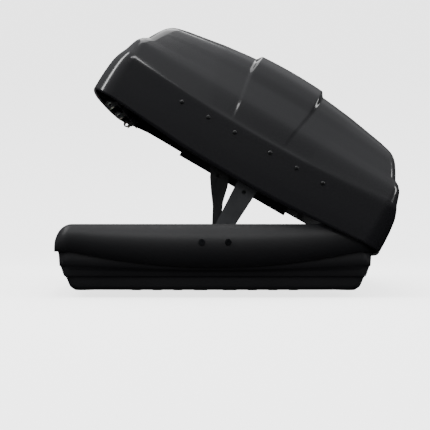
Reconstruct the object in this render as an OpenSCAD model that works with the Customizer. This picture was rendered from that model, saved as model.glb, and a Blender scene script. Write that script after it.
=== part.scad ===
// Roof cargo box that opens from either side, drawn with its lid open on the left.
// Units are millimetres. X runs across the car, Y forwards, Z up.
// The origin is midway between the four clamps, level with the tops of the crossbars.

/* [Box] */
// Overall length, rear face to nose
box_l = 1950; // [1650:10:2350]
// Widest width of the lid, at its lower edge
box_w = 890; // [760:10:1000]
// How much narrower the box is at its rear end
rear_narrow = 82; // [60:2:120]
// How much narrower the box is at its nose
nose_narrow = 270; // [180:10:340]
// How far behind the middle the box is widest
widest_back = 250; // [100:10:400]
// Radius of the lid's two rear corners, seen from above
rear_corner = 55; // [35:1:80]
// Radius of the lid's two nose corners, seen from above
nose_corner = 200; // [150:5:260]
// How far the rear face bows out at its middle
rear_bow = 10; // [4:1:20]
// How far the nose bows out at its middle
nose_bow = 25; // [10:1:40]

/* [Lid] */
// Height of the lid's shoulder over the hinge line, at the rear
lid_h = 241; // [200:1:290]
// Rise of the roof from its shoulder to its middle
roof_rise = 28; // [10:1:40]
// Extra height of the crown, as a share of the height at the rear
crown_gain = 0.13; // [0.05:0.01:0.2]
// How far behind the middle the crown is
crown_back = 100; // [0:10:200]
// Wall thickness of the lid
lid_wall = 4; // [3:0.5:5]
// Half width of the raised centre panel
panel_w = 90; // [60:1:120]
// Height of the raised centre panel over the roof
panel_step = 12; // [6:1:18]
// Drop of the rear skirt at its middle, below the hinge line
rear_skirt_drop = 22; // [10:1:30]
// Lift of the parting line at the nose
nose_lift = 28; // [15:1:40]
// Angle by which the lid stands open on its right-hand hinges
lid_open = 30; // [0:1:30]

/* [Tray] */
// Height of the hinge line over the crossbars
hinge_z = 80; // [70:1:100]
// Wall thickness of the tray
tray_wall = 4; // [3:0.5:5]
// Gap between the lid's skirt and the tray's rim, at the sides
rim_gap = 5; // [4:0.5:8]
// Gap between the lid's skirt and the tray's end walls
end_gap = 7; // [6:0.5:10]
// Width of the flat rim along the tray's sides
rim_w = 13; // [10:1:18]
// Height of the rear end wall over the hinge line
rear_wall_h = 65; // [50:1:75]
// Height of the front end wall over the hinge line
front_wall_h = 38; // [30:1:42]
// Underside of the floor over the crossbars
floor_z = 8; // [6:1:12]
// Underside of the lower floor behind the crossbars
well_z = -20; // [-30:1:-10]
// Where the lower floor ends, behind the middle
well_front = 660; // [620:5:720]

/* [Hinges] */
// Distance of each hinge line in from the side, where the hinges have least room
hinge_in = 38.5; // [36:0.5:60]
// Places of the three hinges along each side
hinge_ys = [-500, -90, 320];
// Diameter of the hinge pins
pin_d = 10; // [8:0.5:12]
// Free length of each hinge pin
pin_l = 27; // [24:1:32]
// Radial running gap of the eyes and cradles on the pins
pin_fit = 0.3; // [0.1:0.05:0.4]
// Width of a lock eye along the pin
eye_l = 14; // [10:1:16]
// Travel of each lock bar
lock_stroke = 30; // [28:1:34]

/* [Locks] */
// Place of each slide handle along the box
handle_y = 130; // [60:5:150]
// Height of each slide handle over the hinge line
handle_h = 75; // [65:1:85]
// Length of the slide handle's grip
grip_l = 120; // [100:5:140]
// Diameter of the key cylinder
key_d = 14; // [12:1:16]

/* [Lifters] */
// Height of the lifter pivots over the hinge line
pivot_h = 20; // [15:1:25]
// Length of the steel arm between its pivot and its stud
arm_l = 195; // [180:1:200]
// Lean of the steel arm when the lid is open
arm_lean = 30; // [25:1:33]
// Length of the hooked link between its pivot and its hook
link_l = 222; // [200:1:230]
// Lean of the hooked link when the lid is open
link_lean = 4; // [2:1:10]
// Spacing of the two bolts through the end wall
bolt_pitch = 65; // [56:1:76]
// Distance of the front lifter's post behind the nose wall
front_lifter_in = 150; // [130:10:250]

/* [Clamps] */
// Distance of the clamps from the middle of the box, across
clamp_x = 250; // [200:5:270]
// Distance of the clamps from the middle of the box, along
clamp_y = 375; // [330:5:400]
// Width of the crossbar that the jaws grip
bar_w = 80; // [60:1:90]
// Height of the crossbar
bar_h = 27; // [20:1:34]
// How far the moving jaw stands back from the bar when it is open
jaw_travel = 14; // [8:1:16]
// How far each clamp slides to either side of its place
clamp_slide = 60; // [40:5:70]
// Lead of the clamp screw for one turn of its knob
screw_lead = 4; // [2:0.5:6]

/* [Hidden] */
$fn = 48;
rear_y = -box_l / 2 + rear_bow;
nose_y = box_l / 2 - nose_bow;
rear_w = box_w - rear_narrow;
nose_w = box_w - nose_narrow;
hinge_x = floor(min(plan_w(hinge_ys[0]), plan_w(hinge_ys[2])) - hinge_in);
front_lifter_y = nose_y - front_lifter_in;
rear_arc = 4;
side_rows = 22;
nose_arc = 6;
rows = rear_arc + side_rows + nose_arc + 2;
rim_in = lid_wall + rim_gap;
end_in = lid_wall + end_gap;
pivot_z = hinge_z + pivot_h;
shoulder_in = 135;
post_gap = 0.5;
cradle_l = 8;
cradle_r = pin_d / 2 + 6;
eye_r = pin_d / 2 + 5;
slot_w = 14;

// Half width of the lid's lower edge at a place along the box
function plan_w(y) = y < -widest_back
    ? box_w / 2 - (box_w - rear_w) / 2 * pow((-widest_back - y) / (-widest_back - rear_y), 2)
    : box_w / 2 - (box_w - nose_w) / 2 * pow((y + widest_back) / (nose_y + widest_back), 3);
function ease(t) = let (u = min(1, max(0, t))) u * u * (3 - 2 * u);
function bump(y) = let (s = -crown_back)
    1 - pow((y - s) / (y < s ? rear_y - s : nose_y - s), 2);
// Share by which the roof rises along the box, and falls towards the nose
function roof_share(y) = crown_gain * bump(y) - 0.3 * pow(max(0, y - 100) / (nose_y - 100), 2);
function edge_lift(y) = nose_lift * ease((y - 300) / (nose_y - 300));

// Point of one row on an outline set in from the lid's lower edge: sides, rear and nose
function row_xy(i, s, r, n) =
    let (rr = max(20, rear_corner - s), rn = max(60, nose_corner - s),
        ya = rear_y + r + rr, yb = nose_y - n - rn, xa = plan_w(ya) - s, xb = plan_w(yb) - s)
    i <= rear_arc
        ? let (a = 90 * i / rear_arc) [xa - rr + rr * sin(a), ya - rr * cos(a)]
        : i <= rear_arc + side_rows
            ? let (y = ya + (yb - ya) * (i - rear_arc) / (side_rows + 1)) [plan_w(y) - s, y]
            : let (a = 90 * (i - rear_arc - side_rows - 1) / nose_arc)
                [xb - rn + rn * cos(a), yb + rn * sin(a)];

// A level is [side inset, rear inset, nose inset, height, share of roof_share, rear sag]
lid_levels = [
    [0, 0, 0, 2, 0, -rear_skirt_drop], [0.5, 1, 4, 30, 0.3, 0], [5, 4, 45, 83, 0.7, -6],
    [14, 6, 80, 112, 1, -14], [20, 9, 95, 124, 1, -18], [32, 24, 150, 157, 1, 0],
    [42, 32, 175, 169, 1, 4], [54, 37, 190, 176, 1, 6], [69, 54, 260, 201, 1, 12],
    [83, 67, 310, 219, 1, 18], [100, 82, 360, 231, 1, 24], [shoulder_in, 112, 440, lid_h, 1, roof_rise]];
lid_cols = [[-1, panel_w + 9, 0.8], [-1, panel_w, 0.7], [0, panel_w, 0.7], [1, panel_w, 0.7],
    [1, panel_w + 9, 0.8]];

function col_x(c, half) = c[0] * min(c[1], c[2] * half);
function lid_z(l, y) = let (k = 1 - l[3] / lid_h)
    hinge_z + l[3] * (1 + l[4] * roof_share(y)) + edge_lift(y) * max(0, k);
function drop_in(l) = l[3] * l[3] / (lid_h * lid_h);
function lid_ring(l, t) = [for (i = [0:rows - 1])
    let (p = row_xy(i, l[0] + t, l[1] + t, l[2] + t)) [p[0], p[1], lid_z(l, p[1]) - t * drop_in(l)]];
function panel_on(c, l) = c[1] == panel_w && l[3] > 130 ? 1 : 0;
function lid_end(l, t, ring, back) =
    let (e = back ? ring[0] : ring[rows - 1])
    [for (c = lid_cols)
        let (x = col_x(c, e[0]), q = 1 - pow(x / e[0], 2), p = panel_on(c, l))
        [x, e[1] + (back ? -rear_bow - 0.4 * p * panel_step : nose_bow) * q,
            e[2] + (back ? l[5] : l[5] > 0 ? l[5] / 2 : 0) * q
            + (l[3] > 200 ? p * panel_step * (l[3] - 200) / (lid_h - 200) : 0)]];
function lid_roof(ring) = [for (i = [1:rows - 2]) [for (c = lid_cols)
    let (e = ring[i], x = col_x(c, e[0]))
    [x, e[1], e[2] + roof_rise * (1 - pow(x / e[0], 2)) + (c[1] == panel_w ? panel_step : 0)]]];

// Closed shell between two skins: each is rings of rows, their ends, and a grid of columns
function loop(ring, back, front) = concat(ring, [for (k = [len(front) - 1:-1:0]) front[k]],
    [for (k = [rows - 1:-1:0]) [-ring[k][0], ring[k][1], ring[k][2]]], back);
function skin_points(rings, backs, fronts, grid) = concat(
    [for (k = [0:len(rings) - 1]) each loop(rings[k], backs[k], fronts[k])], [for (r = grid) each r]);
function grid_at(i, c, n, top, inner) =
    c == 0 ? top + rows + n + rows - 1 - i
    : c == n + 1 ? top + i
    : i == 0 ? top + 2 * rows + n + c - 1
    : i == rows - 1 ? top + rows + n - c
    : inner + (i - 1) * n + c - 1;
function quad(a, b, c, d, turn) = turn ? [[a, c, b], [a, d, c]] : [[a, b, c], [a, c, d]];
function skin_faces(levels, n, from, turn) = let (m = 2 * rows + 2 * n) concat(
    [for (k = [0:levels - 2]) for (j = [0:m - 1]) let (a = from + k * m, e = (j + 1) % m)
        each quad(a + j, a + m + j, a + m + e, a + e, turn)],
    [for (i = [0:rows - 2]) for (c = [0:n]) let (t = from + (levels - 1) * m, g = from + levels * m)
        each quad(grid_at(i, c, n, t, g), grid_at(i, c + 1, n, t, g),
            grid_at(i + 1, c + 1, n, t, g), grid_at(i + 1, c, n, t, g), !turn)]);
module pan(outer, inner, turn) {
    n = len(outer[1][0]);
    m = 2 * rows + 2 * n;
    a = skin_points(outer[0], outer[1], outer[2], outer[3]);
    b = skin_points(inner[0], inner[1], inner[2], inner[3]);
    polyhedron(concat(a, b), concat(
        skin_faces(len(outer[0]), n, 0, turn), skin_faces(len(inner[0]), n, len(a), !turn),
        [for (j = [0:m - 1]) let (e = (j + 1) % m) each quad(j, e, len(a) + e, len(a) + j, turn)]));
}
function lid_skin(t) = let (rings = [for (l = lid_levels) lid_ring(l, t)], last = len(rings) - 1) [rings,
    [for (k = [0:last]) lid_end(lid_levels[k], t, rings[k], true)],
    [for (k = [0:last]) lid_end(lid_levels[k], t, rings[k], false)],
    lid_roof(rings[last])];

// Tray levels: [side inset, rear inset, nose inset, kind of height]
rim_inner = rim_in + rim_w;
tray_outer = [[rim_in, end_in, end_in, "top"], [rim_in, end_in, end_in, "lip"],
    [rim_in + 9, end_in + 5, end_in + 6, "lip"], [rim_inner - tray_wall + 4, end_in + 7, end_in + 12, "wall"],
    [rim_inner + 14, end_in + 19, end_in + 70, "low"], [rim_inner + 40, end_in + 34, end_in + 150, "floor"]];
tray_inner = [[rim_inner, end_in + 4, end_in + 4, "top"], [rim_inner + 4, end_in + 4.5, end_in + 16, "wall_in"],
    [rim_inner + 18, end_in + 23, end_in + 74, "low_in"],
    [rim_inner + 44, end_in + 38, end_in + 154, "floor_in"]];
// Half-widths and heights of the floor's channel, grooves and arch, over the lower floor
groove_w = 29;
groove_top = 7;
groove_h = 11;
groove_xs = [67, 118, 169];
channel_w = 35;
channel_h = 17;
floor_steps = concat([[channel_w / 2 - 0.5, channel_h], [channel_w / 2 + 0.5, 0]],
    [for (g = groove_xs) each [[g - groove_w / 2, 0], [g - groove_top / 2, groove_h],
        [g + groove_top / 2, groove_h], [g + groove_w / 2, 0]]],
    [[205, 0], [222, 8], [243, 11], [268, 8], [300, 1]]);
steps_n = len(floor_steps);
function step_x(k, half) = floor_steps[k][0] * min(1, 0.97 * half / floor_steps[steps_n - 1][0]);
tray_cols = concat([for (k = [steps_n - 1:-1:0]) [-1, k]], [for (k = [0:steps_n - 1]) [1, k]]);
function well(y) = ease((y + well_front) / 60);
function floor_at(y, bump_h) = let (w = well(y), nose = 24 * ease((y - rise_y) / 200))
    (well_z + bump_h) * (1 - w) + (floor_z + nose) * w;
function wall_lift(x, h, half, flat) = x < flat ? h
    : h * sqrt(max(0, 1 - pow((x - flat) / max(1, half - flat), 2)));
function rim_top(i, p) = i <= rear_arc
    ? hinge_z + wall_lift(p[0], rear_wall_h, row_xy(rear_arc, rim_in, end_in, end_in)[0], 352 / 404 * rear_w / 2)
    : p[1] > 300 ? hinge_z + front_wall_h * ease((p[1] - 420) / (nose_y - 520)) : hinge_z;
function tray_z(l, i, p, sag, bump_h) =
    l[3] == "top" ? rim_top(i, p)
    : l[3] == "lip" ? hinge_z - 4 - 38 * sag + 0.6 * edge_lift(p[1])
    : l[3] == "wall" ? hinge_z - 39 - 12 * sag
    : l[3] == "wall_in" ? hinge_z - 37 - 2 * sag
    : l[3] == "low" ? 14 + 8 * ease((p[1] - rise_y) / 200)
    : l[3] == "low_in" ? 17 + 8 * ease((p[1] - rise_y) / 200)
    : l[3] == "floor" ? floor_at(p[1], bump_h)
    : floor_at(p[1], bump_h) + tray_wall;
function tray_ring(l) = [for (i = [0:rows - 1]) let (p = row_xy(i, l[0], l[1], l[2]))
    [p[0], p[1], tray_z(l, i, p, 0, 0)]];
function tray_end(l, ring, back) = let (i = back ? 0 : rows - 1, e = ring[i]) [for (c = tray_cols)
    let (x = c[0] * step_x(c[1], e[0]), q = 1 - pow(x / e[0], 2))
    [x, e[1] + (back ? -rear_bow : nose_bow) * q, tray_z(l, i, e, back ? q : 0, floor_steps[c[1]][1])]];
function tray_grid(l, ring) = [for (i = [1:rows - 2]) [for (c = tray_cols)
    [c[0] * step_x(c[1], ring[i][0]), ring[i][1], tray_z(l, i, ring[i], 0, floor_steps[c[1]][1])]]];
function tray_skin(levels) = let (rings = [for (l = levels) tray_ring(l)], last = len(levels) - 1) [rings,
    [for (k = [0:last]) tray_end(levels[k], rings[k], true)],
    [for (k = [0:last]) tray_end(levels[k], rings[k], false)],
    tray_grid(levels[last], rings[last])];

// Places lid-side pieces, which are drawn closed, where the open lid holds them
module on_lid() translate([hinge_x, 0, hinge_z]) rotate([0, lid_open, 0])
    translate([-hinge_x, 0, -hinge_z]) children();
// Draws a right-hand piece, or its mirror image on the left
module on_side(side) if (side > 0) children(); else mirror([1, 0, 0]) children();
module at_hinges() for (y = hinge_ys) translate([hinge_x, y, hinge_z]) children();
module along_y(r, l) rotate([-90, 0, 0]) cylinder(r = r, h = l);
module plate_xz(l) rotate([90, 0, 0]) translate([0, 0, -l]) linear_extrude(l) children();

// ---- Tray and what is fixed to it ----
slot_l = 2 * clamp_slide + bar_w + 60;
// The floor starts to rise here, ahead of the slots
rise_y = clamp_y + slot_l / 2 + 125;
module at_slots() for (x = [-1, 1], y = [-1, 1]) translate([x * clamp_x, y * clamp_y, 0]) children();
module slot_cut() translate([-slot_w / 2, -slot_l / 2, floor_z - 3]) cube([slot_w, slot_l, tray_wall + 12]);
module bolt_places() for (s = [-1, 1]) translate([s * bolt_pitch / 2, 0, pivot_z]) children();
rear_wall_y = rear_y - rear_bow + end_in;
foot_reach = 22;
module foot_places() for (s = [-1, 1])
    translate([s * bolt_pitch / 2, front_lifter_y - foot_reach / 2 - 1, front_floor]) children();
bolt_d = 8;
module tray() color([0.09, 0.09, 0.1]) difference() {
    pan(tray_skin(tray_outer), tray_skin(tray_inner), true);
    at_slots() slot_cut();
    bolt_places() {
        translate([0, rear_wall_y - 5, 0]) along_y(bolt_d / 2 + 0.2, 20);
    }
    foot_places() cylinder(r = bolt_d / 2 + 0.2, h = 40, center = true);
}

rail_t = 2.5;
rail_w = 46;
rail_l = 2 * (clamp_y + slot_l / 2 + 25);
floor_top = floor_z + tray_wall;
module floor_rail() color([0.5, 0.51, 0.53]) difference() {
    translate([clamp_x - rail_w / 2, -rail_l / 2, floor_top]) {
        cube([rail_w, rail_l, rail_t]);
        for (x = [0, rail_w - rail_t]) translate([x, 0, 0]) cube([rail_t, rail_l, 9]);
    }
    at_slots() slot_cut();
}
module left_floor_rail() on_side(-1) floor_rail();
module right_floor_rail() on_side(1) floor_rail();

post_t = 8;
foot_l = 42;
function foot_x(y) = plan_w(y) - rim_inner - 44 - 34;
module hinge_posts() color([0.16, 0.16, 0.17]) for (y = hinge_ys) {
    translate([0, y, 0]) difference() {
        union() {
            plate_xz(post_t) polygon([[foot_x(y), floor_top], [foot_x(y) + 26, floor_top],
                [hinge_x - 2, hinge_z - 34], [hinge_x + pin_d, hinge_z - 6], [hinge_x + pin_d, hinge_z],
                [hinge_x - pin_d, hinge_z], [hinge_x - pin_d, hinge_z - 12], [foot_x(y), floor_top + 12]]);
            translate([hinge_x, 0, hinge_z]) along_y(pin_d, post_t);
            translate([foot_x(y) - 8, post_t / 2 - foot_l / 2, floor_top]) cube([34, foot_l, 3.5]);
        }
        translate([hinge_x, -1, hinge_z]) along_y(pin_d / 2, post_t + 2);
    }
}
module left_hinge_posts() on_side(-1) hinge_posts();
module right_hinge_posts() on_side(1) hinge_posts();
module hinge_pins() color([0.78, 0.79, 0.8]) at_hinges() {
    translate([0, -pin_l, 0]) along_y(pin_d / 2, pin_l + post_t + 1);
    translate([0, post_t, 0]) along_y(pin_d / 2 + 2, 3);
}
module left_hinge_pins() on_side(-1) hinge_pins();
module right_hinge_pins() on_side(1) hinge_pins();

// ---- Lifters: each end wall has a bracket, a steel arm and a hooked link on one pivot ----
plate_t = 3;
arm_gap = 1;
pivot_d = 10;
arm_y = rear_wall_y + tray_wall + 3.5 + plate_t + arm_gap;
link_y = arm_y + plate_t + arm_gap + 2;
module at_end(front) if (front) translate([0, front_shift, 0]) mirror([0, 1, 0]) children(); else children();
bracket_y = arm_y - arm_gap - plate_t;
// The front lifter is the rear one turned front to back, on a post that stands on the floor
front_shift = front_lifter_y + bracket_y;
front_floor = floor_at(front_lifter_y, 0) + tray_wall + 1;
module lifter_bracket() color([0.14, 0.14, 0.15]) difference() {
    union() {
        translate([0, bracket_y, 0]) plate_xz(plate_t)
            polygon([[-46, pivot_z - 18], [46, pivot_z - 18], [46, pivot_z + 12], [34, pivot_z + 18],
                [-34, pivot_z + 18], [-46, pivot_z + 12]]);
        translate([0, bracket_y, pivot_z]) along_y(pivot_d / 2, link_y + plate_t + 4 - bracket_y);
        translate([0, link_y + plate_t + 1, pivot_z]) along_y(pivot_d / 2 + 3, 3);
    }
    bolt_places() translate([0, bracket_y - 1, 0]) along_y(bolt_d / 2 + 0.2, plate_t + 2);
}
module rear_lifter_bracket() at_end(false) lifter_bracket();
module front_lifter_bracket() {
    at_end(true) lifter_bracket();
    color([0.14, 0.14, 0.15]) {
        translate([0, front_lifter_y - plate_t, 0]) plate_xz(plate_t) polygon([[-46, front_floor],
            [46, front_floor], [46, pivot_z - 18], [-46, pivot_z - 18]]);
        difference() {
            translate([-46, front_lifter_y - foot_reach, front_floor]) cube([92, foot_reach - plate_t, plate_t]);
            foot_places() cylinder(r = bolt_d / 2 + 0.2, h = 20, center = true);
        }
    }
}
module lifter_bolts() color([0.08, 0.08, 0.09]) bolt_places() {
    translate([0, rear_wall_y - 1.2, 0]) along_y(bolt_d, 1.2);
    difference() {
        translate([0, rear_wall_y - 4.4, 0]) along_y(6.2, 3.2);
        translate([0, rear_wall_y - 5, 0]) rotate([-90, 0, 0]) cylinder(r = 2.9, h = 2.4, $fn = 6);
    }
    translate([0, rear_wall_y - 1.2, 0]) along_y(bolt_d / 2, bracket_y - rear_wall_y + 1.2);
}
module rear_lifter_bolts() at_end(false) lifter_bolts();
module front_lifter_bolts() color([0.08, 0.08, 0.09]) foot_places() {
    translate([0, 0, plate_t]) cylinder(r = 6.2, h = 4);
    translate([0, 0, -tray_wall - 4]) cylinder(r = bolt_d / 2, h = plate_t + tray_wall + 4);
}

arm_foot_w = 38;
arm_head_w = 56;
hole_r = 5.2;
hole_at = 142;
module lifter_arm() color([0.2, 0.2, 0.21])
    translate([0, arm_y, pivot_z]) rotate([0, arm_lean, 0]) difference() {
        union() {
            plate_xz(plate_t) union() {
                polygon([[-arm_foot_w / 2, 0], [arm_foot_w / 2, 0], [arm_head_w / 2, arm_l - 28],
                    [arm_head_w / 2, arm_l - 8], [arm_head_w / 2 - 12, arm_l + 12],
                    [12 - arm_head_w / 2, arm_l + 12], [-arm_head_w / 2, arm_l - 8],
                    [-arm_head_w / 2, arm_l - 28]]);
                circle(r = arm_foot_w / 2);
            }
            translate([0, -2, arm_l]) along_y(pivot_d / 2, plate_t + 6);
        }
        translate([0, -1, 0]) along_y(pivot_d / 2 + 0.08, plate_t + 2);
        translate([0, -1, hole_at]) along_y(hole_r, plate_t + 2);
    }
module rear_lifter_arm() at_end(false) lifter_arm();
module front_lifter_arm() at_end(true) lifter_arm();

// The link tapers from its pivot to a swollen head, and ends in a hook open to the right
module lifter_link() color([0.05, 0.05, 0.055])
    translate([0, link_y, pivot_z]) rotate([0, link_lean, 0]) difference() {
        plate_xz(plate_t) difference() {
            union() {
                circle(r = 14);
                polygon([[-9, 0], [9, 0], [13, 100], [22, 140], [24, 165], [19, 178], [8, 186], [14, 196],
                    [22, 200], [22, link_l], [-2, link_l], [-16, link_l - 12], [-23, link_l - 30],
                    [-24, 160], [-18, 120], [-12, 90]]);
            }
            translate([-4, 164]) circle(r = 4.4);
        }
        translate([0, -1, 0]) along_y(pivot_d / 2 + 0.08, plate_t + 2);
    }
module rear_lifter_link() at_end(false) lifter_link();
module front_lifter_link() at_end(true) lifter_link();

// ---- Lid and what is fixed to it ----
bar_t = 4;
bar_in = 20;
bar_x = hinge_x - bar_in - bar_t / 2;
bar_low = 9;
bar_tall = 14;
grip_z = hinge_z + handle_h;
wall_x = plan_w(handle_y) - 4.5;
stem_w = 16;
stem_h = 10;
frame_l = grip_l + lock_stroke + 28;
module at_handle() translate([0, handle_y, grip_z]) children();
module on_sides() for (s = [-1, 1]) on_side(s) children();
module lid_shell() color([0.03, 0.03, 0.035]) on_lid() difference() {
    pan(lid_skin(0), lid_skin(lid_wall), false);
    on_sides() at_handle() translate([wall_x - 30, 8 - frame_l / 2, -16]) cube([60, frame_l - 16, 32]);
}

// Line that follows the inside of the lid at one place along it, from side to side
bow_gap = 5.5;
bow_depth = 8;
bow_from = 4;
function bow_side(y, t) = [for (k = [bow_from:len(lid_levels) - 1]) let (l = lid_levels[k])
    [plan_w(y) - l[0] - t, lid_z(l, y) - t * drop_in(l)]];
function bow_line(y, t) = let (a = bow_side(y, t), e = a[len(a) - 1])
    concat(a, [for (x = [200, 100, 0]) [x, e[1] + roof_rise * (1 - pow(x / e[0], 2))]],
        [for (x = [100, 200]) [-x, e[1] + roof_rise * (1 - pow(x / e[0], 2))]],
        [for (k = [len(a) - 1:-1:0]) [-a[k][0], a[k][1]]]);
module bow(y) let (a = bow_line(y, lid_wall + bow_gap), b = bow_line(y, lid_wall + bow_gap + bow_depth))
    translate([0, y - 15, 0]) plate_xz(30)
        polygon(concat(a, [for (k = [len(b) - 1:-1:0]) b[k]]));
module lid_bows() color([0.6, 0.61, 0.62]) on_lid() for (y = hinge_ys) bow(y);

bracket_l = 64;
bracket_z = hinge_z + 24;
module lid_brackets() color([0.16, 0.16, 0.17]) for (y = hinge_ys) translate([0, y, 0]) {
    difference() {
        translate([0, -post_gap - cradle_l - 0.2, 0]) plate_xz(cradle_l + 0.4)
            polygon([[hinge_x - 15, hinge_z + 1], [hinge_x + 13.5, hinge_z + 1],
                [hinge_x + 13.5, bracket_z], [hinge_x - 15, bracket_z]]);
        translate([hinge_x, -20, hinge_z]) along_y(cradle_r + pin_fit, 40);
    }
    translate([bar_x - 8, -bracket_l / 2, bracket_z]) cube([plan_w(y) - lid_wall - 1 - bar_x + 8, bracket_l, 4]);
    translate([plan_w(y) - lid_wall - 5, -bracket_l / 2, bracket_z]) cube([4, bracket_l, 34]);
    translate([bar_x - 8, 10, bracket_z - 18]) cube([5, bracket_l / 2 - 10, 18]);
}
module left_lid_brackets() on_lid() on_side(-1) lid_brackets();
module right_lid_brackets() on_lid() on_side(1) lid_brackets();

// A cradle is a ring over the pin, open downwards so that it lifts off
module cradles() color([0.75, 0.75, 0.72]) at_hinges() translate([0, -post_gap - cradle_l, 0]) difference() {
    along_y(cradle_r, cradle_l);
    translate([0, -1, 0]) along_y(pin_d / 2 + pin_fit, cradle_l + 2);
    translate([-pin_d / 2 - pin_fit, -1, -cradle_r - 1]) cube([pin_d + 2 * pin_fit, cradle_l + 2, cradle_r + 1]);
}
module left_cradles() on_lid() on_side(-1) cradles();
module right_cradles() on_lid() on_side(1) cradles();

// The lock bar slides its eyes over the free ends of the pins
eye_y = -post_gap - cradle_l - 1 - eye_l - lock_stroke;
bar_back = hinge_ys[0] - 90;
module lock_bar() color([0.62, 0.63, 0.65]) {
    translate([bar_x - bar_t / 2, bar_back, hinge_z + bar_low])
        cube([bar_t, hinge_ys[2] - bar_back, bar_tall]);
    at_hinges() translate([0, eye_y, 0]) difference() {
        union() {
            along_y(eye_r, eye_l);
            plate_xz(eye_l) polygon([[-bar_in, bar_low], [-bar_in, bar_low + 11], [-4, 9], [4, 2],
                [-6, -6]]);
        }
        translate([0, -1, 0]) along_y(pin_d / 2 + pin_fit, eye_l + 2);
    }
}
module left_lock_bar() on_lid() on_side(-1) lock_bar();
module right_lock_bar() on_lid() on_side(1) lock_bar();

module slide_handle() color([0.05, 0.05, 0.055]) at_handle() translate([0, -lock_stroke / 2, 0]) {
    difference() {
        union() {
            translate([wall_x - 5.5, -grip_l / 2, -12.5]) cube([9, grip_l, 25]);
            translate([wall_x + 3.5, -grip_l / 2 + 6, -9.5]) cube([5, grip_l - 12, 19]);
        }
        translate([wall_x - 1, grip_l / 2 - 20, 0]) rotate([0, 90, 0]) cylinder(r = key_d / 2 + 0.1, h = 12);
        for (k = [0:5]) translate([wall_x + 7.5, -grip_l / 2 + 14 + 10 * k, -10]) cube([3, 4, 20]);
    }
    translate([bar_x + bar_t / 2 + 4, -stem_w / 2, -stem_h / 2])
        cube([wall_x - 5.5 - bar_x - bar_t / 2 - 4, stem_w, stem_h]);
    translate([bar_x + bar_t / 2, -stem_w / 2, bar_low - handle_h]) cube([4, stem_w, handle_h + stem_h / 2 - bar_low]);
}
module left_slide_handle() on_lid() on_side(-1) slide_handle();
module right_slide_handle() on_lid() on_side(1) slide_handle();
module escutcheon() color([0.1, 0.1, 0.11]) at_handle() difference() {
    translate([wall_x - 13, -frame_l / 2, -23]) cube([16, frame_l, 46]);
    translate([wall_x - 6, -frame_l / 2 + 10, -13.5]) cube([20, frame_l - 20, 27]);
    translate([wall_x - 20, -stem_w / 2 - lock_stroke / 2 - 2, -stem_h / 2 - 1])
        cube([20, stem_w + lock_stroke + 4, stem_h + 2]);
}
module left_escutcheon() on_lid() on_side(-1) escutcheon();
module right_escutcheon() on_lid() on_side(1) escutcheon();
module key_cylinder() color([0.7, 0.7, 0.72])
    at_handle() translate([wall_x - 0.5, grip_l / 2 - 20 - lock_stroke / 2, 0]) rotate([0, 90, 0]) difference() {
        cylinder(r = key_d / 2, h = 9.5);
        translate([-4, -0.8, 4]) cube([8, 1.6, 8]);
    }
module left_key_cylinder() on_lid() on_side(-1) key_cylinder();
module right_key_cylinder() on_lid() on_side(1) key_cylinder();

// Steel rails inside the lid's ends, grooved for the lifters' studs
groove_d = 1.5;
track_y = link_y + plate_t + 6;
rail_half = 215;
track_z = hinge_z + 22;
track_low = track_z - 10;
shelf_z = hinge_z + rear_wall_h + 24;
module track_slots() for (s = [-1, 1]) translate([s * 20, 0, 0]) mirror([s < 0 ? 1 : 0, 0, 0])
    translate([0, -groove_d, track_z - 6]) cube([rail_half - 40, 2 * groove_d, 12]);
module rear_lid_rail() color([0.45, 0.46, 0.48]) on_lid() difference() {
    union() {
        translate([-rail_half, rear_y + 4.4, shelf_z - 20]) cube([2 * rail_half, plate_t, 20]);
        translate([-rail_half, rear_y + 4.4, shelf_z]) cube([2 * rail_half, track_y + plate_t - rear_y - 4.4, plate_t]);
        translate([-rail_half, track_y, track_low]) cube([2 * rail_half, plate_t, shelf_z - track_low]);
    }
    translate([0, track_y, 0]) track_slots();
}
front_track_y = front_shift - track_y - plate_t;
front_shelf = 108;
front_shelf_l = 62;
module front_lid_rail() color([0.45, 0.46, 0.48]) on_lid() difference() {
    translate([-rail_half, front_track_y, track_low]) union() {
        cube([2 * rail_half, plate_t, front_shelf + hinge_z - track_low]);
        translate([0, 0, front_shelf + hinge_z - track_low - plate_t]) cube([2 * rail_half, front_shelf_l, plate_t]);
    }
    translate([0, front_track_y + plate_t, 0]) track_slots();
}
rivet_r = 5;
module lid_rivets() color([0.05, 0.05, 0.055]) on_lid() for (x = [50, 125, 200], s = [-1, 1])
    translate([s * x, rear_y + 2.6 - rear_bow * (1 - pow(x / 349, 2)), shelf_z - 10]) {
        along_y(rivet_r, 1.4);
        along_y(2.4, 4 + rear_bow * (1 - pow(x / 349, 2)));
    }

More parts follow.
